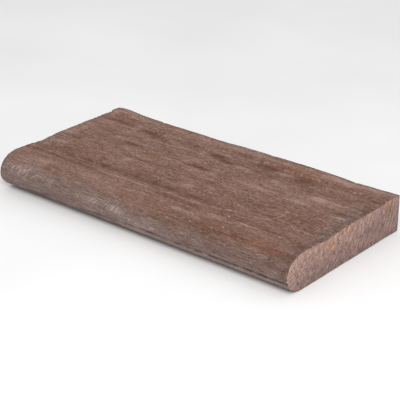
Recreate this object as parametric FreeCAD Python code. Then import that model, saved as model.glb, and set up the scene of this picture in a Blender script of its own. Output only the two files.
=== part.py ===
import FreeCAD, Part
import math
import os

V = FreeCAD.Vector

# Sizes in mm. X runs along the pool edge, the nose faces -Y, the walking face is up.
LENGTH = 610.0
DEPTH = 305.0
THICKNESS = 63.0

# The bullnose is half an ellipse above the parting line and a longer sweep below it.
NOSE_RUN = 38.0
LOWER_RUN = 42.0
SEAM_HEIGHT = 24.0

# The crease on the parting line deepens from the left end to the right end.
CREASE_DEPTH_LEFT = 0.4
CREASE_DEPTH_RIGHT = 1.6
CREASE_OPENING_LEFT = 1.5
CREASE_OPENING_RIGHT = 5.0
CREASE_DEEP_LENGTH = 215.0
CREASE_OVERRUN = 1.3

# A shallow valley runs the length of the walking face behind the nose.
VALLEY_BACK = 101.0
VALLEY_SPREAD = 24.0
VALLEY_DEPTH = 2.8
VALLEY_TAPER = 0.4

# The raised rear strip is wider at the right end, and falls towards the rear edge.
STRIP_WIDTH_LEFT = 21.0
STRIP_WIDTH_RIGHT = 43.0
STRIP_WANDER = 2.5
STRIP_DROP = 0.6
STRIP_SLOPE = 0.044
STEP_LEAN = 0.8
STEP_FOOT_DEPTH = 0.8
STEP_FOOT_SPREAD = 8.0

# Waves left by the wooden pattern.
SWELL = 0.35
SWELL_LENGTH_SHARE = 0.41
SWELL_DEPTH_SHARE = 0.27
REAR_WAVE = 1.5
REAR_WAVE_LENGTH_SHARE = 0.98
REAR_WAVE_CREST_SHARE = 0.74
WANDER_LENGTH_SHARE = 0.37

# The rear strip lifts towards both ends and dips once before the right end.
LIFT_LEFT = 2.0
LIFT_LEFT_RUN = 80.0
LIFT_RIGHT = 1.6
LIFT_RIGHT_RUN = 45.0
DIP_DEPTH = 1.5
DIP_FROM_RIGHT = 83.0
DIP_SPREAD = 24.0

# Rounded arrises.
ARRIS = 1.6

# Reach of the cutting shapes past the stone, and the lines their surfaces pass through.
SURPLUS = 8.0
OVERLAP = 6.0
STATIONS_ALONG = 33
STATIONS_ACROSS = 41
TINY = 1e-4

HALF_LENGTH = LENGTH / 2
NOSE = -DEPTH / 2
REAR = DEPTH / 2
CROWN = NOSE + NOSE_RUN
LOWER_CENTRE = NOSE + LOWER_RUN
MID_HEIGHT = THICKNESS / 2


def smooth(t):
    """Soft step from 0 to 1."""
    t = max(0.0, min(1.0, t))
    return t * t * (3.0 - 2.0 * t)


def bump(distance, spread):
    """Bell shape, 1 at its middle."""
    return math.exp(-((distance / spread) ** 2))


def wave(distance, wavelength):
    return math.cos(2.0 * math.pi * distance / wavelength)


def share_along(x):
    """0 at the left end, 1 at the right end."""
    return (x + HALF_LENGTH) / LENGTH


def sweep_share(z):
    """Share of an elliptic sweep's run at height z, 1 at mid height."""
    return math.sqrt(1.0 - ((z - MID_HEIGHT) / MID_HEIGHT) ** 2)


SEAM_Y = CROWN - NOSE_RUN * sweep_share(SEAM_HEIGHT)
LOWER_REACH = (LOWER_CENTRE - SEAM_Y) / sweep_share(SEAM_HEIGHT)


def sweep(centre_y, run, z_low, z_high):
    """Elliptic arc on the nose side, from one height to another."""
    low = math.asin((z_low - MID_HEIGHT) / MID_HEIGHT)
    high = math.asin((z_high - MID_HEIGHT) / MID_HEIGHT)
    points = []
    for angle in (low, (low + high) / 2, high):
        points.append(V(0, -MID_HEIGHT * math.cos(angle), MID_HEIGHT * math.sin(angle)))
    arc = Part.Arc(*points).toShape()
    stretch = FreeCAD.Matrix()
    stretch.scale(1, run / MID_HEIGHT, 1)
    stretch.move(V(0, centre_y, MID_HEIGHT))
    return arc.transformGeometry(stretch)


def blank():
    """Section with spare height behind the crown, drawn out along the pool edge."""
    bed_front = V(0, LOWER_CENTRE, 0)
    bed_rear = V(0, REAR, 0)
    rear_top = V(0, REAR, THICKNESS + SURPLUS)
    front_top = V(0, CROWN, THICKNESS + SURPLUS)
    crown = V(0, CROWN, THICKNESS)
    edges = [
        Part.makeLine(bed_front, bed_rear),
        Part.makeLine(bed_rear, rear_top),
        Part.makeLine(rear_top, front_top),
        Part.makeLine(front_top, crown),
        sweep(CROWN, NOSE_RUN, SEAM_HEIGHT, THICKNESS),
        sweep(LOWER_CENTRE, LOWER_REACH, 0, SEAM_HEIGHT),
    ]
    section = Part.Face(Part.Wire(Part.__sortEdges__(edges)))
    section.translate(V(-HALF_LENGTH, 0, 0))
    return section.extrude(V(LENGTH, 0, 0))


def on_end(box):
    return box.XLength < TINY and box.ZMin < THICKNESS - TINY


def on_bed_rear(box):
    return box.ZMax < TINY and box.YMin > REAR - TINY


def round_arrises(stone):
    """Round the edges of both ends and the rear edge of the bed."""
    edges = []
    for edge in stone.Edges:
        box = edge.BoundBox
        if on_end(box) or on_bed_rear(box):
            edges.append(edge)
    return stone.makeFillet(ARRIS, edges)


def swell(x, y):
    """Gentle waves of the walking face that die out at the crown."""
    along = wave(x, LENGTH * SWELL_LENGTH_SHARE)
    across = wave(y, DEPTH * SWELL_DEPTH_SHARE)
    return SWELL * along * across * smooth((y - CROWN) / NOSE_RUN)


def strip_front(x):
    """Front line of the raised rear strip."""
    share = share_along(x)
    width = STRIP_WIDTH_LEFT + (STRIP_WIDTH_RIGHT - STRIP_WIDTH_LEFT) * share
    return REAR - width + STRIP_WANDER * wave(x, LENGTH * WANDER_LENGTH_SHARE)


def walking_height(x, y):
    """Face in front of the strip: level, valley and the foot of the step."""
    side = 2.0 * share_along(x) - 1.0
    depth = VALLEY_DEPTH + VALLEY_TAPER * side
    valley = depth * bump(y - NOSE - VALLEY_BACK, VALLEY_SPREAD)
    foot = STEP_FOOT_DEPTH * bump(y - strip_front(x), STEP_FOOT_SPREAD)
    fade = smooth((y - CROWN) / NOSE_RUN)
    return THICKNESS + swell(x, y) - (valley + foot) * fade


def rear_line(x):
    """Height of the strip at the rear edge, over the general level."""
    crest = LENGTH * REAR_WAVE_CREST_SHARE - HALF_LENGTH
    height = REAR_WAVE * wave(x - crest, LENGTH * REAR_WAVE_LENGTH_SHARE) - STRIP_DROP
    height += LIFT_LEFT * (1.0 - smooth((x + HALF_LENGTH) / LIFT_LEFT_RUN))
    height += LIFT_RIGHT * (1.0 - smooth((HALF_LENGTH - x) / LIFT_RIGHT_RUN))
    return height - DIP_DEPTH * bump(HALF_LENGTH - DIP_FROM_RIGHT - x, DIP_SPREAD)


def strip_height(x, y):
    """Face of the raised strip, rising from the rear edge to its front line."""
    return THICKNESS + rear_line(x) + STRIP_SLOPE * (REAR - y)


def above(height, y_from, y_to):
    """Everything above a waved face that reaches past both ends."""
    x_from = -HALF_LENGTH - OVERLAP
    x_step = (LENGTH + 2 * OVERLAP) / (STATIONS_ALONG - 1)
    y_step = (y_to - y_from) / (STATIONS_ACROSS - 1)
    heights = []
    for i in range(STATIONS_ALONG):
        x = x_from + i * x_step
        row = []
        for j in range(STATIONS_ACROSS):
            row.append(height(x, y_from + j * y_step))
        heights.append(row)
    surface = Part.BSplineSurface()
    surface.interpolate(heights, x_from, x_step, y_from, y_step)
    return surface.toShape().extrude(V(0, 0, SURPLUS + OVERLAP))


def strip_outline(z, shift):
    """Plan of the strip at one height, its wandering front line moved by shift."""
    x_from = -HALF_LENGTH - 2 * OVERLAP
    x_step = (LENGTH + 4 * OVERLAP) / (STATIONS_ALONG - 1)
    points = []
    for i in range(STATIONS_ALONG):
        x = x_from + i * x_step
        points.append(V(x, strip_front(x) + shift, z))
    front = Part.BSplineCurve()
    front.interpolate(points)
    right = V(points[-1].x, REAR + 2 * OVERLAP, z)
    left = V(points[0].x, REAR + 2 * OVERLAP, z)
    sides = Part.makePolygon([points[-1], right, left, points[0]])
    return Part.Wire([front.toShape()] + sides.Edges)


def strip_guard():
    """Block over the strip that keeps it from being cut to the walking level."""
    low = strip_outline(THICKNESS - OVERLAP, -OVERLAP * STEP_LEAN)
    high = strip_outline(THICKNESS + 2 * OVERLAP, 2 * OVERLAP * STEP_LEAN)
    return Part.makeLoft([low, high], True, True)


def crease_section(x, depth, opening):
    """Notch with a level roof, its floor falling out to the nose face."""
    foot_z = SEAM_HEIGHT - opening
    foot_y = LOWER_CENTRE - LOWER_REACH * sweep_share(foot_z)
    root = V(x, SEAM_Y + depth, SEAM_HEIGHT)
    foot = V(x, foot_y, foot_z)
    lip = root + (foot - root) * CREASE_OVERRUN
    out_low = V(x, NOSE - OVERLAP, lip.z)
    out_high = V(x, NOSE - OVERLAP, SEAM_HEIGHT)
    return Part.makePolygon([root, lip, out_low, out_high, root])


def crease():
    """Notch along the parting line, shallow at the left and deep at the right."""
    start = HALF_LENGTH - CREASE_DEEP_LENGTH
    left = crease_section(-HALF_LENGTH - OVERLAP, CREASE_DEPTH_LEFT, CREASE_OPENING_LEFT)
    inner = crease_section(start, CREASE_DEPTH_LEFT, CREASE_OPENING_LEFT)
    right = crease_section(HALF_LENGTH + OVERLAP, CREASE_DEPTH_RIGHT, CREASE_OPENING_RIGHT)
    return Part.makeLoft([left, inner, right], True, True)


def coping_stone():
    stone = round_arrises(blank())
    guard = strip_guard()
    strip_start = REAR - STRIP_WIDTH_RIGHT - STRIP_WANDER - 2 * OVERLAP
    over_strip = above(strip_height, strip_start, REAR + OVERLAP).common(guard)
    over_walk = above(walking_height, CROWN, REAR + OVERLAP).cut(guard)
    stone = stone.cut([over_strip, over_walk, crease()])
    return stone.Solids[0]


os.makedirs("parts", exist_ok=True)
coping_stone().exportStep("parts/coping_stone.step")
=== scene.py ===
import math

import bmesh
import bpy
from mathutils import Matrix, Vector, noise

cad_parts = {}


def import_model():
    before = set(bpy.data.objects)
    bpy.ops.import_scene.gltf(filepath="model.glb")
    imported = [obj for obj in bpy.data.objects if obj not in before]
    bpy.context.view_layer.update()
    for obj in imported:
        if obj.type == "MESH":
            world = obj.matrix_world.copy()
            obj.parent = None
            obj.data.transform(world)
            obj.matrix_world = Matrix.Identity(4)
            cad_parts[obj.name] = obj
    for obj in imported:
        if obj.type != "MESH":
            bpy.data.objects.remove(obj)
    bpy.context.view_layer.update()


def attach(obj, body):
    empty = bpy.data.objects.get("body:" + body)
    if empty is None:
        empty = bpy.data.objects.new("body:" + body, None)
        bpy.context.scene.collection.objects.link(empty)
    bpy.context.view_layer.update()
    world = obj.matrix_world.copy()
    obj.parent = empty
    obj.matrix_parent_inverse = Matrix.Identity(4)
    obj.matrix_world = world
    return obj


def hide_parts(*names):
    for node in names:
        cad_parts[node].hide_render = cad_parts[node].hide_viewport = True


# Sizes of the stone in millimetres, as the solid has them. The mesh is scaled to metres at the end.
LENGTH = 610.0
DEPTH = 305.0
THICKNESS = 63.0
NOSE_RUN = 38.0
LOWER_RUN = 42.0
SEAM_HEIGHT = 24.0

# The valley of the walking face and the raised strip along its rear.
SWELL = 0.35
SWELL_LENGTH_SHARE = 0.41
SWELL_DEPTH_SHARE = 0.27
VALLEY_BACK = 101.0
VALLEY_SPREAD = 24.0
VALLEY_DEPTH_LEFT = 2.4
VALLEY_DEPTH_RIGHT = 3.2
STEP_FOOT_DEPTH = 0.8
STEP_FOOT_SPREAD = 8.0
STRIP_WIDTH_LEFT = 21.0
STRIP_WIDTH_RIGHT = 43.0
STRIP_WANDER = 2.5
WANDER_LENGTH_SHARE = 0.37
STRIP_DROP = 0.6
STRIP_SLOPE = 0.044
REAR_WAVE = 1.5
REAR_WAVE_LENGTH_SHARE = 0.98
REAR_CREST = 146.4
LIFT_LEFT = 2.0
LIFT_LEFT_RUN = 80.0
LIFT_RIGHT = 1.6
LIFT_RIGHT_RUN = 45.0
DIP = 222.0
DIP_DEPTH = 1.5
DIP_SPREAD = 24.0

HALF_LENGTH = LENGTH / 2
NOSE = -DEPTH / 2
REAR = DEPTH / 2
CROWN = NOSE + NOSE_RUN
LOWER_CENTRE = NOSE + LOWER_RUN
MID_HEIGHT = THICKNESS / 2

# Eased edges, and the cells of the mesh along the stone, over its face and on its ends.
ARRIS = 1.3
COLUMNS = 268
PLANK_ROWS = 206
END_STEP = 2.6
HIGHEST_CUT = 66.0

# Distance round the section from the crown: to the parting line, below it, and to the bed.
SEAM_GIRTH = -63.0
LOWER_GIRTH = -66.0
BED_GIRTH = -110.0

# The grain is finer round the nose, and the pale strokes lean across it, in degrees. The ends were
# struck off in arcs about one centre.
NOSE_GRAIN = 1.5
STROKE_LEAN = -66.0
STRIKE_BACK = -263.0
STRIKE_HEIGHT = 173.0
STRIKE_STRETCH = 0.3

# Places of the materials on the stone.
STAINED, GRANULAR, BEDDED = 0, 1, 2

# The camera that the stone's corners give, in degrees, metres and millimetres of lens.
CAMERA_YAW = 39.212
CAMERA_PITCH = 24.544
CAMERA_ROLL = 0.621
CAMERA_AWAY = 2.3588
CAMERA_RIGHT = 0.010517
CAMERA_DOWN = 0.012807
CAMERA_LENS = 127.34
CAMERA_SENSOR = 36.0

# Half the side of the studio floor, in metres.
FLOOR_HALF = 6.0


def smooth(t):
    """Soft step from 0 to 1."""
    t = max(0.0, min(1.0, t))
    return t * t * (3.0 - 2.0 * t)


def bump(distance, spread):
    """Bell shape, 1 at its middle."""
    return math.exp(-((distance / spread) ** 2))


def wave(distance, wavelength):
    return math.cos(2.0 * math.pi * distance / wavelength)


def rough(x, y, along, across, layer):
    """Noise drawn out along the stone, from -1 to 1."""
    return noise.noise(Vector((x / along, y / across, layer * 7.31)))


def share_along(x):
    """0 at the left end, 1 at the right end."""
    return (x + HALF_LENGTH) / LENGTH


def strip_front(x):
    """Front line of the raised rear strip."""
    width = STRIP_WIDTH_LEFT + (STRIP_WIDTH_RIGHT - STRIP_WIDTH_LEFT) * share_along(x)
    return REAR - width + STRIP_WANDER * wave(x, LENGTH * WANDER_LENGTH_SHARE)


def walking_height(x, y):
    """Face in front of the strip: level, valley and the foot of the step."""
    swell = SWELL * wave(x, LENGTH * SWELL_LENGTH_SHARE) * wave(y, DEPTH * SWELL_DEPTH_SHARE)
    depth = VALLEY_DEPTH_LEFT + (VALLEY_DEPTH_RIGHT - VALLEY_DEPTH_LEFT) * share_along(x)
    valley = depth * bump(y - NOSE - VALLEY_BACK, VALLEY_SPREAD)
    foot = STEP_FOOT_DEPTH * bump(y - strip_front(x), STEP_FOOT_SPREAD)
    return THICKNESS + (swell - valley - foot) * smooth((y - CROWN) / NOSE_RUN)


def rear_line(x):
    """Height of the strip at the rear edge, over the general level."""
    height = REAR_WAVE * wave(x - REAR_CREST, LENGTH * REAR_WAVE_LENGTH_SHARE) - STRIP_DROP
    height += LIFT_LEFT * (1.0 - smooth((x + HALF_LENGTH) / LIFT_LEFT_RUN))
    height += LIFT_RIGHT * (1.0 - smooth((HALF_LENGTH - x) / LIFT_RIGHT_RUN))
    return height - DIP_DEPTH * bump(x - DIP, DIP_SPREAD)


def plank_level(x, y):
    """Height of the walking face, with the step up to the strip."""
    low = walking_height(x, y)
    high = THICKNESS + rear_line(x) + STRIP_SLOPE * (REAR - y)
    return low + (high - low) * smooth((y - strip_front(x) + 1.0) / 3.0)


def sweep_share(z):
    """Share of an elliptic sweep's run at height z, 1 at mid height."""
    return math.sqrt(max(0.0, 1.0 - ((z - MID_HEIGHT) / MID_HEIGHT) ** 2))


SEAM_Y = CROWN - NOSE_RUN * sweep_share(SEAM_HEIGHT)
LOWER_REACH = (LOWER_CENTRE - SEAM_Y) / sweep_share(SEAM_HEIGHT)


def crease_share(x):
    """How far the parting line stands open: shut at the left, open at the right."""
    return smooth((x + 40.0) / 190.0)


def crease_opening(x):
    return 1.2 + 4.0 * crease_share(x)


# Tables of places on the skin give the middle along, the girth from the crown, half length, half
# width and strength. One unit of tone is about thirty-five steps of a screen colour.

# Hollows torn into the old plank, depth in millimetres.
TEARS = (
    (-172.0, 208.0, 24.0, 6.0, 0.9),
    (-148.0, 198.0, 24.0, 6.0, 0.8),
    (-20.0, 203.0, 22.0, 6.5, 1.1),
    (10.0, 193.0, 20.0, 5.0, 0.8),
    (75.0, 219.0, 24.0, 9.0, 0.7),
    (156.0, 212.0, 26.0, 12.0, 0.8),
    (-167.0, 149.5, 25.0, 3.2, 0.8),
    (-16.0, 147.0, 27.0, 3.4, 0.9),
    (280.0, 147.0, 18.0, 4.0, 0.6),
    (38.0, 22.0, 42.0, 4.5, 0.5),
    (190.0, -14.0, 14.0, 6.0, 0.6),
)

# Dark and pale places in the stain. The dark places over the torn hollows are partly painted shade in the
# hollows.
TONES = (
    (-252.0, 214.5, 38.0, 5.5, -0.5),
    (-179.0, 209.5, 19.0, 6.0, -0.75),
    (-150.0, 198.0, 24.0, 6.0, -0.65),
    (-80.0, 212.0, 24.0, 4.5, -0.5),
    (-21.0, 202.0, 19.0, 7.0, -0.85),
    (10.0, 193.0, 20.0, 5.0, -0.7),
    (5.0, 235.0, 22.0, 6.0, -0.35),
    (75.0, 219.0, 24.0, 14.0, -0.55),
    (108.0, 236.0, 26.0, 7.0, -0.35),
    (153.0, 213.0, 22.0, 18.0, -0.5),
    (222.0, 236.0, 26.0, 4.0, -0.3),
    (282.0, 223.0, 20.0, 5.0, -0.75),
    (100.0, 188.0, 11.0, 9.0, -0.4),
    (182.0, 184.0, 9.0, 7.0, -0.45),
    (-240.0, 168.0, 40.0, 2.4, -0.3),
    (-80.0, 166.0, 70.0, 2.4, -0.25),
    (-167.0, 149.5, 25.0, 3.6, -0.8),
    (-16.0, 147.0, 28.0, 3.8, -0.9),
    (280.0, 147.0, 20.0, 5.0, -0.6),
    (-262.0, 108.0, 26.0, 3.0, -0.4),
    (-212.0, 112.0, 18.0, 3.0, -0.3),
    (-106.0, 105.0, 22.0, 3.0, -0.45),
    (-58.0, 109.0, 30.0, 3.5, -0.45),
    (30.0, 104.0, 34.0, 3.0, -0.35),
    (75.0, 100.0, 12.0, 14.0, -0.25),
    (222.0, 85.0, 16.0, 14.0, -0.35),
    (262.0, 78.0, 16.0, 12.0, -0.3),
    (-110.0, 50.0, 190.0, 9.0, -0.45),
    (-214.0, 47.0, 20.0, 6.0, -0.3),
    (-174.0, 48.0, 11.0, 7.0, -0.55),
    (-142.0, 49.0, 13.0, 8.0, -0.7),
    (-63.0, 48.0, 15.0, 7.0, -0.4),
    (-28.0, 48.0, 9.0, 6.0, -0.6),
    (5.0, 49.0, 12.0, 8.0, -0.7),
    (62.0, 51.0, 26.0, 8.0, -0.6),
    (38.0, 22.0, 42.0, 6.0, -0.6),
    (-180.0, 27.0, 60.0, 3.0, -0.35),
    (230.0, 27.0, 60.0, 5.0, -0.25),
    (150.0, -25.0, 72.0, 9.0, -0.5),
    (190.0, -13.0, 11.0, 7.0, -0.6),
    (275.0, -18.0, 26.0, 8.0, -0.4),
    (297.0, 90.0, 9.0, 110.0, -0.3),
    (295.0, 11.0, 11.0, 9.0, -0.5),
    (292.0, 82.0, 9.0, 12.0, -0.15),
    (294.0, 136.0, 9.0, 18.0, -0.2),
    (298.0, 182.0, 9.0, 12.0, -0.4),
    (294.0, 242.0, 8.0, 9.0, -0.3),
    (-291.0, 138.0, 14.0, 36.0, 0.6),
    (0.0, 251.0, 340.0, 11.0, 0.4),
    (-237.0, 251.0, 24.0, 7.0, 0.5),
    (-20.0, 249.0, 120.0, 4.0, 0.3),
    (207.0, 252.0, 30.0, 9.0, 0.8),
    (265.0, 256.0, 30.0, 5.0, 0.4),
    (-209.0, 211.0, 8.0, 13.0, 0.6),
    (-185.0, 234.0, 6.0, 4.0, 0.5),
    (-50.0, 202.0, 9.0, 11.0, 0.35),
    (-30.0, 228.0, 6.0, 3.0, 0.6),
    (45.0, 226.0, 6.0, 5.0, 0.5),
    (110.0, 213.0, 16.0, 4.0, 0.9),
    (200.0, 210.0, 4.0, 4.0, 0.6),
    (-265.0, 197.0, 24.0, 7.0, 0.35),
    (-90.0, 192.0, 38.0, 7.0, 0.35),
    (45.0, 184.0, 26.0, 8.0, 0.3),
    (140.0, 172.0, 38.0, 16.0, 0.3),
    (215.0, 166.0, 20.0, 12.0, 1.0),
    (250.0, 168.0, 18.0, 9.0, 0.45),
    (-203.0, 155.0, 14.0, 12.0, 0.4),
    (-47.0, 155.0, 14.0, 12.0, 0.5),
    (103.0, 142.0, 25.0, 8.0, 0.6),
    (190.0, 140.0, 22.0, 8.0, 0.65),
    (278.0, 131.0, 10.0, 4.0, 0.9),
    (-118.0, 117.5, 25.0, 4.0, 0.75),
    (23.0, 117.5, 22.0, 4.0, 0.75),
    (-272.0, 119.0, 22.0, 3.0, 0.45),
    (-132.0, 85.0, 16.0, 17.0, 0.5),
    (15.0, 84.0, 20.0, 17.0, 0.2),
    (-272.0, 84.0, 10.0, 9.0, 0.45),
    (57.0, 90.0, 14.0, 6.0, 0.3),
    (282.0, 95.0, 12.0, 8.0, 0.4),
    (130.0, 12.0, 15.0, 5.0, 0.7),
    (182.0, 19.0, 13.0, 5.0, 0.7),
    (75.0, -3.0, 23.0, 5.0, 0.9),
    (110.0, -10.0, 14.0, 4.0, 0.45),
    (-240.0, -3.0, 42.0, 7.0, 0.4),
    (-105.0, 1.0, 52.0, 9.0, 0.4),
    (-20.0, 4.0, 28.0, 5.0, 0.3),
    (-150.0, -58.0, 150.0, 6.0, -0.1),
    (-150.0, -94.0, 210.0, 14.0, -0.6),
    (-170.0, -72.0, 130.0, 8.0, -0.2),
    (-247.0, 66.0, 20.0, 12.0, -0.35),
    (-205.0, 72.0, 20.0, 8.0, -0.3),
    (-80.0, 66.0, 40.0, 10.0, -0.35),
    (-37.0, 30.0, 26.0, 8.0, -0.3),
    (37.0, -32.0, 26.0, 12.0, -0.3),
    (120.0, -12.0, 80.0, 12.0, -0.35),
    (102.0, 90.0, 30.0, 14.0, -0.3),
    (141.0, 40.0, 34.0, 20.0, -0.35),
    (73.0, 190.0, 14.0, 12.0, -0.4),
    (161.0, 91.0, 22.0, 12.0, -0.35),
    (198.0, 71.0, 14.0, 12.0, -0.35),
    (253.0, -20.0, 18.0, 14.0, -0.35),
    (281.0, -31.0, 14.0, 12.0, -0.35),
    (250.0, 110.0, 16.0, 12.0, -0.3),
    (295.0, 32.0, 8.0, 14.0, -0.3),
    (296.0, 72.0, 10.0, 12.0, 0.3),
    (292.0, 142.0, 10.0, 14.0, 0.3),
    (283.0, 244.0, 14.0, 7.0, 0.3),
    (-100.0, -50.0, 20.0, 8.0, 0.2),
    (72.0, -37.0, 16.0, 8.0, -0.35),
    (180.0, 180.0, 26.0, 8.0, -0.25),
    (211.0, 186.0, 16.0, 10.0, -0.25),
    (-244.0, 236.0, 16.0, 8.0, -0.3),
    (-172.0, 245.0, 20.0, 6.0, -0.3),
    (262.0, 184.0, 10.0, 10.0, -0.3),
    (-255.0, -32.0, 20.0, 14.0, 0.35),
    (-225.0, -10.0, 18.0, 12.0, 0.35),
    (-178.0, 86.0, 18.0, 8.0, 0.3),
    (-153.0, 127.0, 22.0, 10.0, 0.45),
    (-158.0, 184.0, 20.0, 10.0, 0.4),
    (-210.0, 180.0, 16.0, 10.0, 0.4),
    (-42.0, 164.0, 16.0, 10.0, 0.4),
    (14.0, 138.0, 22.0, 12.0, 0.5),
    (-35.0, -46.0, 18.0, 10.0, 0.5),
    (-94.0, -43.0, 14.0, 10.0, 0.3),
    (29.0, -47.0, 20.0, 10.0, 0.25),
    (-294.0, 62.0, 9.0, 40.0, 0.35),
    (60.0, -84.0, 60.0, 12.0, -0.3),
    (-220.0, -50.0, 90.0, 9.0, 0.15),
    (0.0, -62.0, 34.0, 10.0, 0.4),
    (226.0, -44.0, 76.0, 16.0, -0.2),
    (-294.0, 240.0, 12.0, 16.0, 0.4),
    (299.0, -40.0, 7.0, 34.0, -0.5),
    (175.0, -51.0, 20.0, 6.0, -0.2),
    (110.0, -58.0, 18.0, 3.0, -0.6),
    (27.0, -64.0, 12.0, 4.0, -0.5),
)

# Thin lines in the stain: strength, half width, then points along and round.
LINES = (
    (0.9, 1.3, ((203.0, 102.0), (204.0, 82.0), (196.0, 64.0), (170.0, 52.0), (112.0, 44.0))),
    (0.8, 1.1, ((109.0, 35.0), (118.0, 43.0), (149.0, 57.0))),
    (0.55, 1.1, ((196.0, 60.0), (236.0, 64.0), (276.0, 60.0))),
    (1.1, 1.3, ((12.0, 34.5), (40.0, 33.0), (80.0, 34.5))),
    (0.9, 1.4, ((-150.0, 221.0), (-106.0, 222.5))),
    (1.0, 1.4, ((-10.0, 214.0), (22.0, 215.5), (46.0, 214.0))),
    (0.5, 1.2, ((-205.0, 28.0), (-150.0, 30.0), (-90.0, 28.5))),
    (0.5, 1.2, ((-70.0, 30.0), (-30.0, 27.0), (10.0, 29.0))),
    (0.45, 1.2, ((60.0, 115.0), (120.0, 114.0), (200.0, 116.0))),
    (0.6, 1.2, ((152.0, -26.5), (205.0, -25.0), (262.0, -31.0))),
    (0.45, 1.2, ((75.0, -62.0), (110.0, -63.5), (145.0, -64.0))),
    (-0.7, 1.2, ((-290.0, 26.0), (-262.0, 30.0), (-225.0, 27.0))),
    (-0.5, 1.1, ((100.0, 30.0), (180.0, 36.0), (290.0, 34.0))),
    (-0.5, 1.1, ((120.0, 22.0), (210.0, 24.0), (285.0, 20.0))),
    (-2.6, 1.0, ((265.0, -33.5), (265.6, -32.5))),
    (-1.8, 1.1, ((207.0, -45.0), (207.5, -44.0))),
)

# Places where the skin is scratched pale.
SCRATCHED = (
    (-256.0, -36.0, 38.0, 11.0, 1.1),
    (-196.0, -38.0, 17.0, 10.0, 0.9),
    (-118.0, -46.0, 10.0, 8.0, 0.6),
    (-88.0, -42.0, 14.0, 8.0, 0.8),
    (-40.0, -44.0, 26.0, 9.0, 1.1),
    (10.0, -52.0, 30.0, 6.0, 0.6),
    (40.0, -54.0, 44.0, 3.0, 0.5),
    (215.0, 166.0, 22.0, 14.0, 0.5),
    (205.0, 190.0, 26.0, 26.0, 0.3),
)

# Places where white specks of sand show.
FLECKED = (
    (200.0, 12.0, 80.0, 30.0, 1.0),
    (110.0, 0.0, 40.0, 18.0, 0.8),
    (210.0, 175.0, 40.0, 40.0, 0.8),
    (-100.0, 220.0, 130.0, 18.0, 0.6),
)

# Rust-warm and grey-cool places in the stain.
FIELDS = (
    (130.0, 241.0, 64.0, 15.0, 0.8),
    (-100.0, 246.0, 40.0, 9.0, 0.8),
    (-262.0, 240.0, 20.0, 14.0, 0.45),
    (262.0, -13.0, 36.0, 8.0, 0.65),
    (180.0, -16.0, 60.0, 9.0, 0.4),
    (70.0, 44.0, 34.0, 10.0, 0.45),
    (-235.0, 90.0, 40.0, 14.0, 0.3),
    (-200.0, -22.0, 110.0, 22.0, -0.5),
    (-220.0, -60.0, 110.0, 24.0, -0.5),
    (210.0, -58.0, 90.0, 18.0, -0.4),
    (-190.0, 222.0, 60.0, 5.0, -0.4),
    (-250.0, 218.0, 26.0, 8.0, 0.5),
    (-120.0, 160.0, 60.0, 14.0, -0.3),
    (-30.0, 225.0, 60.0, 5.0, -0.4),
    (-40.0, 140.0, 40.0, 7.0, 0.4),
    (-220.0, 140.0, 30.0, 12.0, 0.4),
    (60.0, 150.0, 60.0, 8.0, 0.35),
    (-120.0, 30.0, 70.0, 4.0, 0.5),
    (150.0, 100.0, 60.0, 6.0, -0.35),
    (18.0, 225.0, 30.0, 14.0, -0.3),
    (120.0, 200.0, 40.0, 10.0, -0.3),
    (-258.0, -26.0, 26.0, 16.0, -0.4),
    (-145.0, -21.0, 24.0, 14.0, -0.4),
    (-125.0, -3.0, 20.0, 8.0, -0.3),
    (42.0, -32.0, 30.0, 14.0, -0.35),
    (132.0, -20.0, 26.0, 12.0, -0.35),
    (177.0, -48.0, 22.0, 12.0, -0.3),
    (11.0, 64.0, 20.0, 8.0, -0.3),
    (296.0, -4.0, 12.0, 13.0, -0.7),
    (296.0, -44.0, 22.0, 26.0, -0.9),
    (-10.0, -35.0, 22.0, 12.0, -0.3),
    (190.0, -44.0, 150.0, 22.0, -0.7),
    (-160.0, -56.0, 140.0, 18.0, -0.7),
    (278.0, 158.0, 18.0, 20.0, -0.4),
    (285.0, 178.0, 20.0, 18.0, -0.55),
    (-288.0, 92.0, 12.0, 16.0, -0.3),
    (-154.0, 68.0, 20.0, 8.0, -0.3),
    (-202.0, -18.0, 22.0, 9.0, 0.55),
    (-227.0, 104.0, 20.0, 10.0, 0.35),
    (-253.0, 228.0, 24.0, 12.0, 0.4),
    (-30.0, 250.0, 30.0, 7.0, 0.5),
    (61.0, 30.0, 30.0, 10.0, 0.3),
    (-71.0, 102.0, 24.0, 8.0, 0.3),
    (110.0, 80.0, 24.0, 12.0, 0.3),
    (195.0, 39.0, 26.0, 14.0, 0.35),
    (86.0, 164.0, 20.0, 14.0, 0.3),
    (220.0, 209.0, 20.0, 14.0, 0.35),
    (237.0, 59.0, 22.0, 14.0, 0.3),
    (297.0, 90.0, 15.0, 120.0, -0.7),
    (295.0, 11.0, 13.0, 10.0, -0.5),
    (291.0, 68.0, 14.0, 20.0, -0.45),
    (286.0, 134.0, 16.0, 22.0, -0.35),
    (286.0, 244.0, 18.0, 10.0, -0.7),
    (-300.0, 80.0, 14.0, 34.0, -0.55),
    (-300.0, 190.0, 9.0, 50.0, -0.4),
)

# Warm and grey fields of the right end: middle across, height, half width, half height, strength.
END_FIELDS = (
    (-41.0, 49.0, 14.0, 9.0, 1.3),
    (6.0, 55.0, 14.0, 6.0, 1.0),
    (122.0, 57.0, 20.0, 8.0, 1.1),
    (-78.0, 50.0, 12.0, 8.0, 0.4),
    (62.0, 35.0, 17.0, 11.0, -1.1),
    (102.0, 42.0, 8.0, 6.0, -1.3),
    (-14.0, 24.0, 9.0, 6.0, -0.9),
    (-60.0, 14.0, 40.0, 10.0, -0.4),
    (146.0, 30.0, 10.0, 30.0, -0.7),
    (40.0, 4.0, 130.0, 7.0, -0.55),
)


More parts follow.
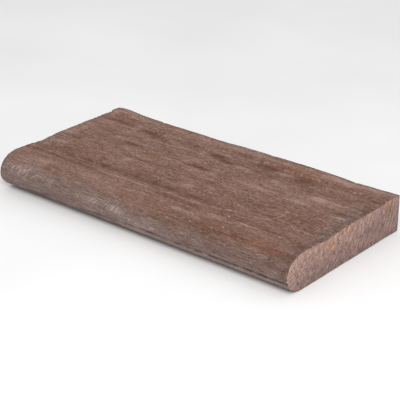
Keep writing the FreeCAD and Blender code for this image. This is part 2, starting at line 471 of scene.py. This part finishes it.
def field(x, s, places):
    """Sum of the soft places of a table at one point."""
    total = 0.0
    for mid_x, mid_s, half_long, half_wide, strength in places:
        dx = (x - mid_x) / half_long
        ds = (s - mid_s) / half_wide
        if abs(dx) < 2.2 and abs(ds) < 2.2:
            total += strength * math.exp(-dx * dx - ds * ds)
    return total


def tear(x, s):
    """Depth of the torn hollows and the rim that stands behind each."""
    depth = 0.0
    for mid_x, mid_s, half_long, half_wide, deep in TEARS:
        u = (x - mid_x) / half_long
        if abs(u) > 1.6:
            continue
        v = (s - mid_s + 2.5 * rough(x, mid_s, 17.0, 9.0, 5)) / half_wide
        if abs(v) > 4.0:
            continue
        rim = 0.45 * bump(v - 1.9, 0.8)
        depth += deep * math.exp(-(u ** 4)) * (bump(v, 1.0) - rim)
    return depth


def line_marks(x, s):
    """Strength of the thin lines at a place of the skin."""
    total = 0.0
    here = Vector((x, s))
    for strength, half_width, points in LINES:
        reach = 3.0 * half_width
        left, right = sorted((points[0][0], points[-1][0]))
        if not left - reach < x < right + reach:
            continue
        nearest = reach
        for first, second in zip(points, points[1:]):
            a, b = Vector(first), Vector(second)
            t = max(0.0, min(1.0, (here - a).dot(b - a) / (b - a).length_squared))
            nearest = min(nearest, (here - a.lerp(b, t)).length)
        total += strength * bump(nearest, half_width)
    return total


def stain_tone(x, s):
    """Skin tone apart from its grain: stain, painted shade over the hollows, painted light on the lower
    nose.
    """
    dx = 7.0 * rough(x, s, 26.0, 12.0, 41)
    ds = 2.6 * rough(x, s, 20.0, 9.0, 42)
    tone = field(x + dx, s + ds, TONES) + line_marks(x, s + 0.8 * ds)
    # Painted light: the lower nose is made paler, as if lit from the floor below.
    tone += 0.6 * smooth((-48.0 - s) / 26.0)
    combed = bump(s - 31.0, 15.0)
    return tone + combed * rough(x, s + 0.5 * ds, 120.0, 1.7, 43)


def drift(x, y):
    """How far the grain lines wander across the face."""
    return 7.0 * rough(x, y, 170.0, 70.0, 1) + 2.0 * rough(x, y, 60.0, 25.0, 2)


def plank_relief(x, y):
    """Wood grain of the walking face, up positive."""
    v = y + drift(x, y)
    height = 0.5 * rough(x, v, 75.0, 8.0, 3)
    height += 0.36 * rough(x, v, 34.0, 3.6, 4)
    height += 0.3 * rough(x, v, 12.0, 2.4, 6)
    height += 0.16 * rough(x, v, 5.0, 3.2, 7)
    height += 1.3 * bump(x + 276.0, 20.0) * smooth((y - strip_front(x)) / 5.0)
    height -= 1.2 * bump(x + HALF_LENGTH, 10.0) * smooth((y - REAR + 24.0) / 24.0)
    return height - 0.5 * smooth((rough(x, v, 60.0, 16.0, 8) - 0.2) / 0.35)


def nose_relief(x, s):
    """Low dents and faint grain of the nose, out positive."""
    height = 0.35 * rough(x, s, 90.0, 30.0, 11)
    height += 0.22 * rough(x, s + 3.0 * rough(x, s, 60.0, 40.0, 12), 30.0, 5.0, 13)
    return height + 0.16 * rough(x, s, 8.0, 4.0, 14)


def grit(a, b, layer):
    """Fine grain of bare concrete, from -1 to 1."""
    coarse = noise.noise(Vector((a / 5.0, b / 5.0, layer * 3.7)))
    fine = noise.noise(Vector((a / 2.2, b / 2.2, layer * 3.7 + 1.0)))
    return 0.6 * coarse + 0.4 * fine


def end_relief(y, z, side):
    """Sand grain and small holes of the bare ends, out positive."""
    hole = noise.noise(Vector((y / 4.0, z / 4.0, 31.0 + side)))
    return 0.25 * grit(y, z, 20 + side) - 0.9 * smooth((hole - 0.42) / 0.2)


def end_pits(y, z, side):
    """Painted shade in the pits of the ends, and a darker band along their foot."""
    pit = bump(y - 1.0, 1.8) * bump(z - 36.0, 2.2) if side > 0 else 0.0
    small = noise.noise(Vector((y / 3.0, z / 3.0, 77.0 + side)))
    return pit + 0.7 * smooth((small - 0.45) / 0.15) + 0.15 * bump(z, 2.4)


def stations():
    """Stations round the section: up the rear, over the face, round the nose and back along the bed."""
    steps = [("rear", i / 12) for i in range(12)]
    steps += [("rear_arris", i / 3) for i in range(3)]
    steps += [("plank", i / PLANK_ROWS) for i in range(PLANK_ROWS)]
    steps += [("upper_nose", i / 44) for i in range(45)]
    steps += [("crease", i / 4) for i in range(1, 4)]
    steps += [("lower_nose", i / 22) for i in range(22)]
    steps += [("bed", i / 14) for i in range(14)]
    steps += [("foot_arris", i / 3) for i in range(4)]
    return steps


def place(x, kind, t):
    """Point of the section at x: y, z and the outward normal."""
    if kind == "rear":
        top = plank_level(x, REAR) - ARRIS
        return REAR, ARRIS + (top - ARRIS) * t, 1.0, 0.0
    if kind == "rear_arris":
        top = plank_level(x, REAR) - ARRIS
        a = t * math.pi / 2
        return REAR - ARRIS + ARRIS * math.cos(a), top + ARRIS * math.sin(a), math.cos(a), math.sin(a)
    if kind == "plank":
        y = REAR - ARRIS + (CROWN - REAR + ARRIS) * t
        return y, plank_level(x, y), 0.0, 1.0
    if kind == "upper_nose":
        low = math.asin((SEAM_HEIGHT - MID_HEIGHT) / MID_HEIGHT)
        a = math.pi / 2 + (low - math.pi / 2) * t
        n = Vector((-math.cos(a) / NOSE_RUN, math.sin(a) / MID_HEIGHT)).normalized()
        return CROWN - NOSE_RUN * math.cos(a), MID_HEIGHT + MID_HEIGHT * math.sin(a), n.x, n.y
    if kind == "crease":
        deep = 0.15 + 1.7 * crease_share(x)
        foot = SEAM_HEIGHT - crease_opening(x)
        foot_y = LOWER_CENTRE - LOWER_REACH * sweep_share(foot)
        u = (t - 0.25) / 0.75
        y = SEAM_Y + deep + (foot_y - SEAM_Y - deep) * u ** 1.3
        return y, SEAM_HEIGHT - 0.1 + (foot - SEAM_HEIGHT) * u, -1.0, 0.0
    if kind == "lower_nose":
        start = SEAM_HEIGHT - crease_opening(x)
        high = math.asin((start - MID_HEIGHT) / MID_HEIGHT)
        a = high + (-math.pi / 2 - high) * t
        n = Vector((-math.cos(a) / LOWER_REACH, math.sin(a) / MID_HEIGHT)).normalized()
        return LOWER_CENTRE - LOWER_REACH * math.cos(a), MID_HEIGHT + MID_HEIGHT * math.sin(a), n.x, n.y
    if kind == "bed":
        return LOWER_CENTRE + (REAR - ARRIS - LOWER_CENTRE) * t, 0.0, 0.0, -1.0
    a = t * math.pi / 2
    return REAR - ARRIS + ARRIS * math.sin(a), ARRIS - ARRIS * math.cos(a), math.sin(a), -math.cos(a)


def relief(x, y, z, kind, t):
    """Height of the relief at a station, out positive."""
    if kind in ("plank", "rear_arris"):
        plain = nose_relief(x, y - CROWN)
        torn_grain = plank_relief(x, y) - tear(x, y - CROWN)
        return plain + (torn_grain - plain) * smooth((y - CROWN) / 26.0) - rear_chip(x, y)
    if kind == "upper_nose":
        return nose_relief(x, -50.0 * t)
    if kind in ("crease", "lower_nose"):
        return nose_relief(x, -60.0 - 40.0 * t) * 0.8
    if kind == "bed":
        return -0.25 + 0.2 * grit(x, y, 2)
    return -0.15 + 0.15 * grit(x, z, 3)


def rear_chip(x, y):
    """Depth of the chips along the rear arris."""
    chips = 0.9 * bump(x - 50.0, 3.5) + 1.0 * bump(x - 221.0, 3.0) + 0.8 * bump(x + 196.0, 4.0)
    return chips * bump(REAR - y, 2.6)


def end_chip(x, y, z):
    """How far the arris of an end is worn back: most along the right foot."""
    into = smooth((abs(x) - HALF_LENGTH + 3.0) / 3.0)
    chips = 0.7 * smooth((rough(y, z, 7.0, 9.0, 91) - 0.1) / 0.3)
    if x > 0.0 and z < 6.0:
        chips += smooth((y + 60.0) / 40.0) * (0.3 + 1.8 * abs(rough(y, 0.0, 9.0, 1.0, 92)))
    return into * chips


def columns():
    """Places along the stone, close together where the ends turn over."""
    r = ARRIS
    inner = [-HALF_LENGTH + r + (LENGTH - 2 * r) * i / COLUMNS for i in range(COLUMNS + 1)]
    left = [-HALF_LENGTH, -HALF_LENGTH + r * 0.13, -HALF_LENGTH + r * 0.5]
    right = [HALF_LENGTH - r * 0.5, HALF_LENGTH - r * 0.13, HALF_LENGTH]
    return left + inner + right


def arris_inset(x):
    """How far the skin draws in where it turns over at an end."""
    into = max(0.0, abs(x) - HALF_LENGTH + ARRIS)
    return ARRIS - math.sqrt(max(0.0, ARRIS ** 2 - into ** 2))


def girth(y, kind, t):
    """Distance round the section from the crown, rearwards positive."""
    if kind in ("plank", "rear_arris"):
        return y - CROWN
    if kind == "upper_nose":
        return SEAM_GIRTH * t
    if kind == "crease":
        return SEAM_GIRTH + (LOWER_GIRTH - SEAM_GIRTH) * t
    if kind == "lower_nose":
        return LOWER_GIRTH + (BED_GIRTH - LOWER_GIRTH) * t
    return y - CROWN if kind == "rear" else BED_GIRTH


def weather(x, s, z, kind):
    """Colour cast of the skin: rust positive, grey negative."""
    cast = field(x, s, FIELDS) + 0.35 * rough(x, s, 60.0, 25.0, 61)
    if kind in ("upper_nose", "crease", "lower_nose"):
        edge = 49.0 - 3.0 * wave(x - 150.0, 420.0) + 9.0 * rough(x, s, 60.0, 60.0, 62)
        cast -= 1.15 * smooth((edge - z) / 22.0 + 0.5)
    return cast


def dirt_and_shade(x, y, kind, t):
    """Painted shade in the parting line and on the top arrises, a darker foot of the nose, dirt splashes.
    """
    broken = 0.55 + 0.45 * smooth((rough(x, 0.0, 14.0, 1.0, 71) + 0.2) / 0.35)
    share = smooth((x + 60.0) / 60.0) * (0.75 + 0.25 * smooth((x - 215.0) / 45.0)) * broken
    near = bump(y + 95.0, 40.0)
    # Painted shade along the rim of the left end, wider near the nose.
    rim = (0.45 + 0.35 * near + 0.3 * rough(y, 0.0, 14.0, 1.0, 74)) * bump(x + HALF_LENGTH, 3.0 + near)
    s = girth(y, kind, t)
    patchy = 0.46 * max(0.0, 0.75 + 1.4 * rough(x, s, 26.0, 6.0, 75))
    splash = patchy * smooth((-54.0 - s) / 14.0) * (1.0 - smooth((x + 60.0) / 80.0))
    # Painted shade in the parting line.
    if kind == "crease":
        return max(1.3 * share * (1.0 - 1.2 * max(0.0, t - 0.4)), splash)
    if kind == "lower_nose":
        # Darker towards the bottom of the lower nose, on the left.
        foot = 0.55 * smooth((t - 0.35) / 0.3) * (1.0 - smooth((x - 20.0) / 90.0))
        return max(foot, splash, rim)
    # Painted shade just above the parting line, under its overhang.
    if kind == "upper_nose":
        return max(share * smooth((t - 0.95) / 0.04), splash, rim)
    # Painted shade along the rear arris and the top edge of the right end.
    if kind in ("plank", "rear_arris"):
        line = 0.8 + 0.5 * rough(x, 0.0, 60.0, 1.0, 73)
        return line * bump(REAR - y, 3.6) + rim + 0.3 * bump(x - HALF_LENGTH, 1.6)
    return 0.0


SKIN_MARKS = ("relief", "tone", "cast", "dirt_and_shade", "scratched", "flecked", "girth")


def skin(bm):
    """A flat sheet rolled round the section, joined along the rear foot."""
    places = columns()
    steps = stations()
    bmesh.ops.create_grid(bm, x_segments=len(places) - 1, y_segments=len(steps) - 1, size=1.0)
    layers = {name: bm.verts.layers.float.new(name) for name in SKIN_MARKS}
    for v in bm.verts:
        x = places[round((v.co.x + 1.0) / 2.0 * (len(places) - 1))]
        kind, t = steps[round((v.co.y + 1.0) / 2.0 * (len(steps) - 1))]
        y, z, ny, nz = place(x, kind, t)
        out = relief(x, y, z, kind, t)
        s = girth(y, kind, t)
        marks = {
            "relief": out,
            "tone": stain_tone(x, s),
            "cast": weather(x, s, z, kind),
            "dirt_and_shade": dirt_and_shade(x, y, kind, t),
            "scratched": field(x, s, SCRATCHED),
            "flecked": field(x, s, FLECKED),
            "girth": s + (drift(x, y) if kind == "plank" else 0.0),
        }
        for name, value in marks.items():
            v[layers[name]] = value
        back = out - arris_inset(x) - end_chip(x, y, z)
        v.co = Vector((x, max(NOSE, min(REAR, y + ny * back)), max(0.0, z + nz * back)))
    bmesh.ops.remove_doubles(bm, verts=bm.verts, dist=1e-4)


def end_faces(bm):
    """Close both ends and cut each end face into small cells that carry its grain."""
    rims = [e for e in bm.edges if e.is_boundary]
    caps = bmesh.ops.holes_fill(bm, edges=rims, sides=0)["faces"]
    level_cuts = [(Vector((0, 0, 1)), END_STEP * k) for k in range(1, int(HIGHEST_CUT / END_STEP))]
    upright_cuts = [(Vector((0, 1, 0)), NOSE + END_STEP * k) for k in range(1, int(DEPTH / END_STEP))]
    for cap in caps:
        cells = [cap]
        for normal, along in level_cuts + upright_cuts:
            geom = set(cells)
            for f in cells:
                geom.update(f.edges)
                geom.update(f.verts)
            cut = bmesh.ops.bisect_plane(
                bm, geom=list(geom), dist=1e-4, plane_co=normal * along, plane_no=normal
            )
            cells = [g for g in cut["geom"] if isinstance(g, bmesh.types.BMFace)]
        for f in cells:
            f.material_index = GRANULAR
    for f in bm.faces:
        if f.calc_center_median().x > HALF_LENGTH - 0.6 * ARRIS:
            f.material_index = GRANULAR


def on_end(v):
    """Whether a point belongs to an end. The left rim keeps the marks of the stained skin."""
    if v.co.x < 0.0 and any(f.material_index == STAINED for f in v.link_faces):
        return False
    return abs(v.co.x) >= HALF_LENGTH - 0.2 * ARRIS


def within_end(v):
    """Whether a point lies on the flat of an end, with all its neighbours."""
    flat = HALF_LENGTH - 0.01 * ARRIS
    return abs(v.co.x) > HALF_LENGTH - 1e-3 and all(abs(e.other_vert(v).co.x) > flat for e in v.link_edges)


def end_tone(y, z):
    """The ends are paler towards the top and the nose, and darker in the upper rear corner."""
    rising = (z - 33.0) / 36.0
    return rising + 0.8 * bump(y - NOSE, 22.0) - bump(y - 118.0, 34.0) * bump(z - 50.0, 16.0)


def mark_ends(bm):
    """Give the ends their own marks, and press their grain and holes into the mesh."""
    layers = {name: bm.verts.layers.float[name] for name in SKIN_MARKS}
    for v in bm.verts:
        if not on_end(v):
            continue
        y, z, side = v.co.y, v.co.z, math.copysign(1.0, v.co.x)
        out = end_relief(y, z, side)
        v[layers["relief"]] = out
        v[layers["cast"]] = field(y, z, END_FIELDS)
        v[layers["tone"]] = end_tone(y, z)
        v[layers["dirt_and_shade"]] = end_pits(y, z, side)
        if within_end(v):
            v.co.x += side * min(0.0, out - 0.25)


def lay_grain(bm):
    """Lays the grain in metres: along the stone on the skin, in arcs as the end was struck off."""
    run = bm.loops.layers.uv.new("grain_run")
    s = bm.verts.layers.float["girth"]
    for f in bm.faces:
        for loop in f.loops:
            v = loop.vert
            if f.material_index == GRANULAR:
                up, back = v.co.z - STRIKE_HEIGHT, v.co.y - STRIKE_BACK
                loop[run].uv = (STRIKE_STRETCH * math.atan2(up, back), math.hypot(up, back) / 1000)
            else:
                round_it = v[s] * (1.0 if v[s] > 0.0 else NOSE_GRAIN)
                loop[run].uv = (v.co.x / 1000, round_it / 1000)


def stone_mesh():
    bm = bmesh.new()
    skin(bm)
    end_faces(bm)
    mark_ends(bm)
    bmesh.ops.recalc_face_normals(bm, faces=bm.faces)
    lay_grain(bm)
    for f in bm.faces:
        f.smooth = True
        centre = f.calc_center_median()
        if f.material_index == STAINED and (centre.y > REAR - 0.6 or centre.z < 0.4):
            f.material_index = BEDDED
    bmesh.ops.scale(bm, vec=(0.001, 0.001, 0.001), verts=bm.verts)
    mesh = bpy.data.meshes.new("coping_stone_skin")
    bm.to_mesh(mesh)
    bm.free()
    return mesh


def shade(red, green, blue):
    """Linear colour of a screen colour from 0 to 255."""
    linear = (((c / 255 + 0.055) / 1.055) ** 2.4 if c > 10 else c / 3294.6 for c in (red, green, blue))
    return (*linear, 1.0)


def node(tree, kind, inputs=None, **settings):
    """New node, its inputs linked or set."""
    made = tree.nodes.new(kind)
    for name, value in settings.items():
        setattr(made, name, value)
    for name, value in (inputs or {}).items():
        if isinstance(value, bpy.types.NodeSocket):
            tree.links.new(value, made.inputs[name])
        else:
            made.inputs[name].default_value = value
    return made


def maths(tree, operation, *terms, **settings):
    """Sum, product or the like of sockets and numbers."""
    return node(tree, "ShaderNodeMath", dict(enumerate(terms)), operation=operation, **settings).outputs[0]


def vector_maths(tree, operation, inputs):
    """The same for places and directions."""
    return node(tree, "ShaderNodeVectorMath", inputs, operation=operation).outputs[0]


def product(tree, first, second):
    return maths(tree, "MULTIPLY", first, second)


def sum_of(tree, *terms):
    """Adds sockets, each times its share."""
    total = 0.0
    for socket, share in terms:
        total = maths(tree, "MULTIPLY_ADD", socket, share, total)
    return total


def step(tree, value, low, high, out_low=0.0, out_high=1.0):
    """Soft step of a value between two levels."""
    inputs = {"Value": value, "From Min": low, "From Max": high, "To Min": out_low, "To Max": out_high}
    return node(tree, "ShaderNodeMapRange", inputs, interpolation_type="SMOOTHSTEP").outputs["Result"]


def tint(tree, share, first, second, blend="MIX"):
    """Second colour over the first by a share."""
    made = node(tree, "ShaderNodeMix", {0: share, 6: first, 7: second}, data_type="RGBA", blend_type=blend)
    return made.outputs[2]


def washed(tree, colour, red, green, blue):
    """Colour with its channels scaled."""
    return tint(tree, 1.0, colour, (red, green, blue, 1.0), "MULTIPLY")


def ramp(tree, value, stops):
    """Colour between stops of a place and a colour."""
    made = node(tree, "ShaderNodeValToRGB", {"Fac": value})
    elements = made.color_ramp.elements
    while len(elements) < len(stops):
        elements.new(0.5)
    for element, (place_at, colour) in zip(elements, stops):
        element.position = place_at
        element.color = colour
    return made.outputs["Color"]


def mark(tree, name):
    """Mark that the mesh carries at each of its points."""
    return node(tree, "ShaderNodeAttribute", attribute_name=name).outputs["Fac"]


def group(name, inputs, outputs):
    """Empty node group that puts out values."""
    tree = bpy.data.node_groups.new(name, "ShaderNodeTree")
    for label, kind in inputs:
        tree.interface.new_socket(label, in_out="INPUT", socket_type=kind)
    for label in outputs:
        tree.interface.new_socket(label, in_out="OUTPUT", socket_type="NodeSocketFloat")
    return tree, tree.nodes.new("NodeGroupInput"), tree.nodes.new("NodeGroupOutput")


def drawn_grain():
    """Streaks drawn out along the grain, from -1 to 1, sizes in millimetres."""
    inputs = (("Run", "NodeSocketVector"), ("Along", "NodeSocketFloat"), ("Across", "NodeSocketFloat"),
              ("Layer", "NodeSocketFloat"))
    tree, start, end = group("drawn_grain", inputs, ("Streak",))
    along, across = start.outputs["Along"], start.outputs["Across"]
    size = node(tree, "ShaderNodeCombineXYZ", {0: along, 1: across, 2: 1.0}).outputs[0]
    cells = vector_maths(tree, "DIVIDE", {0: start.outputs["Run"], 1: size})
    lift = node(tree, "ShaderNodeCombineXYZ", {2: start.outputs["Layer"]}).outputs[0]
    scaled = vector_maths(tree, "SCALE", {0: cells, "Scale": 1000.0})
    spot = vector_maths(tree, "ADD", {0: scaled, 1: lift})
    texture = {"Vector": spot, "Scale": 1.0, "Detail": 2.0, "Roughness": 0.55}
    clouds = node(tree, "ShaderNodeTexNoise", texture).outputs["Fac"]
    tree.links.new(maths(tree, "MULTIPLY_ADD", clouds, 4.5, -2.25), end.inputs["Streak"])
    return tree


def sand_grain():
    """Sand in the cast skin: even grain from -1 to 1, pale specks and dark pinholes from 0 to 1."""
    inputs = (("Place", "NodeSocketVector"), ("Size", "NodeSocketFloat"))
    tree, start, end = group("sand_grain", inputs, ("Sand", "Specks", "Pinholes"))
    place_at = start.outputs["Place"]
    cells = maths(tree, "DIVIDE", 1000.0, start.outputs["Size"])
    texture = {"Vector": place_at, "Scale": cells, "Detail": 2.0, "Roughness": 0.6}
    clouds = node(tree, "ShaderNodeTexNoise", texture).outputs["Fac"]
    grains = node(tree, "ShaderNodeTexVoronoi", {"Vector": place_at, "Scale": cells}).outputs["Color"]
    each = node(tree, "ShaderNodeSeparateColor", {0: grains}).outputs[0]
    sand = maths(tree, "SUBTRACT", sum_of(tree, (clouds, 3.2), (each, 0.7)), 1.95)
    wide = product(tree, cells, 0.34)
    stones = node(tree, "ShaderNodeTexVoronoi", {"Vector": place_at, "Scale": wide})
    pick = node(tree, "ShaderNodeSeparateColor", {0: stones.outputs["Color"]})
    near = step(tree, stones.outputs["Distance"], 0.2, 0.1)
    for label, channel, level in (("Specks", 0, 0.82), ("Pinholes", 1, 0.92)):
        chosen = maths(tree, "GREATER_THAN", pick.outputs[channel], level)
        tree.links.new(product(tree, near, chosen), end.inputs[label])
    tree.links.new(sand, end.inputs["Sand"])
    return tree


def fresh(name, roughness):
    """New matt material with its node tree and shader."""
    material = bpy.data.materials.new(name)
    material.use_nodes = True
    tree = material.node_tree
    shader = tree.nodes["Principled BSDF"]
    shader.inputs["Roughness"].default_value = roughness
    shader.inputs["Specular IOR Level"].default_value = 0.3
    return material, tree, shader


def streak(tree, grain, run, along, across, layer):
    """Streaks of one size, drawn from the grain group."""
    made = node(tree, "ShaderNodeGroup", node_tree=grain)
    tree.links.new(run, made.inputs["Run"])
    made.inputs["Along"].default_value = along
    made.inputs["Across"].default_value = across
    made.inputs["Layer"].default_value = layer
    return made.outputs["Streak"]


def sand(tree, grit_group, place_at, size):
    """Sand of one size, from the sand group."""
    made = node(tree, "ShaderNodeGroup", node_tree=grit_group)
    tree.links.new(place_at, made.inputs["Place"])
    made.inputs["Size"].default_value = size
    return made.outputs


def bumped(tree, shader, height, distance):
    """Fine relief, its height in metres."""
    made = node(tree, "ShaderNodeBump", {"Strength": 1.0, "Distance": distance, "Height": height})
    tree.links.new(made.outputs["Normal"], shader.inputs["Normal"])


def plank_stain(grain, grit_group):
    """Brown stained skin of the walking face and nose, greyer where it has weathered."""
    material, tree, shader = fresh("stained_plank_cast", 0.78)
    run = node(tree, "ShaderNodeUVMap", uv_map="grain_run").outputs[0]
    drawn = node(tree, "ShaderNodeMapping", {"Vector": run, "Scale": (0.5, 1.0, 1.0)}).outputs[0]
    lean = (0.0, 0.0, math.radians(STROKE_LEAN))
    leaning = node(tree, "ShaderNodeMapping", {"Vector": run, "Rotation": lean}).outputs[0]
    broad = streak(tree, grain, run, 60.0, 11.0, 1.0)
    middle = streak(tree, grain, run, 28.0, 3.4, 4.0)
    hair = streak(tree, grain, run, 48.0, 1.9, 9.0)
    dashes = streak(tree, grain, run, 8.0, 2.3, 17.0)
    strokes = streak(tree, grain, leaning, 22.0, 3.2, 14.0)
    hue = streak(tree, grain, run, 20.0, 4.5, 31.0)
    grains = sand(tree, grit_group, drawn, 2.5)
    sandy = product(tree, grains["Sand"], step(tree, mark(tree, "girth"), -14.0, 14.0, 0.34, 0.5))
    # The relief term is painted shade in the hollows and painted light on the rises.
    tone = sum_of(tree, (broad, 0.11), (middle, 0.22), (hair, 0.17), (dashes, 0.16),
                  (sandy, 1.0), (mark(tree, "relief"), 0.14), (mark(tree, "tone"), 0.5))
    stain = ramp(tree, maths(tree, "ADD", tone, 0.478), (
        (0.0, shade(92, 57, 42)),
        (0.47, shade(121, 90, 77)),
        (0.8, shade(144, 113, 102)),
        (1.0, shade(158, 129, 119)),
    ))
    cast = maths(tree, "MULTIPLY_ADD", hue, 0.75, mark(tree, "cast"))
    stain = tint(tree, step(tree, dashes, 0.7, 1.3, 0.0, 0.5), stain, shade(168, 138, 124))
    pinkish = washed(tree, stain, 1.01, 0.97, 1.03)
    olive = washed(tree, stain, 0.99, 1.03, 0.94)
    stain = tint(tree, step(tree, streak(tree, grain, run, 24.0, 5.0, 37.0), -1.0, 1.0), pinkish, olive)
    rusty = washed(tree, stain, 1.09, 0.98, 0.86)
    warm = tint(tree, step(tree, cast, 0.0, 1.2), stain, rusty)
    weathered = washed(tree, warm, 0.86, 1.04, 1.19)
    colour = tint(tree, step(tree, cast, -0.1, -1.1), warm, weathered)
    scratch = product(tree, step(tree, strokes, -0.25, 0.7, 0.05, 1.0), mark(tree, "scratched"))
    colour = tint(tree, step(tree, scratch, 0.0, 1.1, 0.0, 0.62), colour, shade(182, 166, 158))
    # Painted shade in the parting line and along the arrises, a darker lower nose and dirt splashes darken
    # the stain.
    colour = tint(tree, step(tree, mark(tree, "dirt_and_shade"), 0.05, 1.0, 0.0, 0.85), colour, shade(58, 45, 42))
    flecks = product(tree, grains["Specks"], mark(tree, "flecked"))
    colour = tint(tree, flecks, colour, shade(226, 206, 188))
    # Painted shade in the pinholes.
    colour = tint(tree, product(tree, grains["Pinholes"], 0.4), colour, shade(66, 48, 42))
    tree.links.new(colour, shader.inputs["Base Color"])
    height = sum_of(tree, (middle, 0.35), (hair, 0.3), (grains["Sand"], 0.4), (grains["Pinholes"], -1.0))
    bumped(tree, shader, height, 0.0005)
    return material


def bare_end(grain, grit_group):
    """Pinkish tan granular concrete of the ends."""
    material, tree, shader = fresh("granular_end_cast", 0.85)
    run = node(tree, "ShaderNodeUVMap", uv_map="grain_run").outputs[0]
    spot = node(tree, "ShaderNodeTexCoord").outputs["Object"]
    slant = streak(tree, grain, run, 9.0, 1.9, 21.0)
    broad = streak(tree, grain, run, 18.0, 5.0, 23.0)
    hue = streak(tree, grain, run, 14.0, 5.0, 27.0)
    grains = sand(tree, grit_group, spot, 2.4)
    # The relief term is painted shade in the holes and hollows and painted light on the rises.
    tone = sum_of(tree, (slant, 0.4), (broad, 0.2), (grains["Sand"], 0.22), (mark(tree, "relief"), 0.2),
                  (mark(tree, "tone"), 0.19))
    colour = ramp(tree, maths(tree, "ADD", tone, 0.45), (
        (0.0, shade(104, 86, 80)),
        (0.35, shade(138, 111, 104)),
        (0.65, shade(167, 135, 125)),
        (1.0, shade(214, 177, 161)),
    ))
    cast = maths(tree, "MULTIPLY_ADD", hue, 0.5, mark(tree, "cast"))
    warm = tint(tree, step(tree, cast, 0.0, 1.2), colour, washed(tree, colour, 1.13, 0.98, 0.78))
    cool = tint(tree, step(tree, cast, 0.0, -1.2), warm, washed(tree, warm, 0.78, 0.85, 0.9))
    # Painted shade in the pits and pinholes, and the darker band along the foot.
    holes = maths(tree, "ADD", mark(tree, "dirt_and_shade"), grains["Pinholes"], use_clamp=True)
    colour = tint(tree, product(tree, holes, 0.7), cool, shade(76, 56, 52))
    colour = tint(tree, product(tree, grains["Specks"], 0.35), colour, shade(216, 190, 172))
    tree.links.new(colour, shader.inputs["Base Color"])
    height = sum_of(tree, (slant, 0.3), (grains["Sand"], 0.5), (grains["Pinholes"], -1.5))
    bumped(tree, shader, height, 0.0006)
    return material


def bed_cast(grain, grit_group):
    """Plain unstained concrete of the bedding and rear faces."""
    material, tree, shader = fresh("plain_bed_cast", 0.88)
    spot = node(tree, "ShaderNodeTexCoord").outputs["Object"]
    clouds = sand(tree, grit_group, spot, 34.0)
    grains = sand(tree, grit_group, spot, 2.6)
    # The relief term is painted shade in the hollows and painted light on the rises.
    tone = sum_of(tree, (clouds["Sand"], 0.14), (grains["Sand"], 0.34), (mark(tree, "relief"), 0.3))
    colour = ramp(tree, maths(tree, "ADD", tone, 0.5), (
        (0.0, shade(96, 80, 74)),
        (0.5, shade(140, 119, 111)),
        (1.0, shade(178, 158, 148)),
    ))
    # Painted shade in the pinholes.
    colour = tint(tree, grains["Pinholes"], colour, shade(70, 58, 54))
    tree.links.new(colour, shader.inputs["Base Color"])
    height = sum_of(tree, (grains["Sand"], 0.5), (grains["Pinholes"], -2.0))
    bumped(tree, shader, height, 0.0006)
    return material


def pale_floor():
    material, tree, shader = fresh("pale_floor", 0.9)
    spot = node(tree, "ShaderNodeTexCoord").outputs["Object"]
    clouds = node(tree, "ShaderNodeTexNoise", {"Vector": spot, "Scale": 3.0, "Detail": 2.0})
    colour = ramp(tree, clouds.outputs["Fac"], ((0.3, shade(236, 236, 236)), (0.7, shade(242, 242, 242))))
    tree.links.new(colour, shader.inputs["Base Color"])
    return material


def floor():
    bm = bmesh.new()
    bmesh.ops.create_grid(bm, x_segments=1, y_segments=1, size=FLOOR_HALF)
    mesh = bpy.data.meshes.new("studio_floor")
    bm.to_mesh(mesh)
    bm.free()
    obj = bpy.data.objects.new("studio_floor", mesh)
    bpy.context.scene.collection.objects.link(obj)
    mesh.materials.append(pale_floor())


def camera():
    yaw, pitch, roll = (math.radians(a) for a in (CAMERA_YAW, CAMERA_PITCH, CAMERA_ROLL))
    ahead = Vector((-math.sin(yaw) * math.cos(pitch), math.cos(yaw) * math.cos(pitch), -math.sin(pitch)))
    right = Vector((math.cos(yaw), math.sin(yaw), 0.0))
    up = right.cross(ahead)
    level_right = right * math.cos(roll) + up * math.sin(roll)
    level_up = -right * math.sin(roll) + up * math.cos(roll)
    middle = Vector((0.0, 0.0, MID_HEIGHT / 1000))
    spot = middle - ahead * CAMERA_AWAY + right * CAMERA_RIGHT - up * CAMERA_DOWN
    data = bpy.data.cameras.new("studio_camera")
    data.sensor_width = CAMERA_SENSOR
    data.lens = CAMERA_LENS
    data.clip_end = 30.0
    obj = bpy.data.objects.new("studio_camera", data)
    bpy.context.scene.collection.objects.link(obj)
    turn = Matrix((level_right, level_up, -ahead)).transposed()
    obj.matrix_world = Matrix.Translation(spot) @ turn.to_4x4()
    bpy.context.scene.camera = obj


def area_light(name, spot, aim, size, power):
    data = bpy.data.lights.new(name, "AREA")
    data.shape = "DISK"
    data.size = size
    data.energy = power
    obj = bpy.data.objects.new(name, data)
    bpy.context.scene.collection.objects.link(obj)
    obj.location = spot
    obj.rotation_euler = (Vector(aim) - Vector(spot)).to_track_quat("-Z", "Y").to_euler()


def studio():
    world = bpy.data.worlds.new("studio_white")
    world.use_nodes = True
    background = world.node_tree.nodes["Background"]
    background.inputs["Color"].default_value = (1.0, 1.0, 1.0, 1.0)
    background.inputs["Strength"].default_value = 0.75
    bpy.context.scene.world = world
    area_light("key_softbox", spot=(1.6, -1.8, 2.2), aim=(0.0, 0.0, 0.03), size=1.6, power=60.0)
    bpy.context.scene.view_settings.view_transform = "Standard"


def build():
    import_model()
    stone = bpy.data.objects.new("plank_faced_stone", stone_mesh())
    bpy.context.scene.collection.objects.link(stone)
    grain = drawn_grain()
    grit_group = sand_grain()
    for finish in (plank_stain, bare_end, bed_cast):
        stone.data.materials.append(finish(grain, grit_group))
    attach(stone, "root")
    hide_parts("coping_stone")
    floor()
    camera()
    studio()


build()
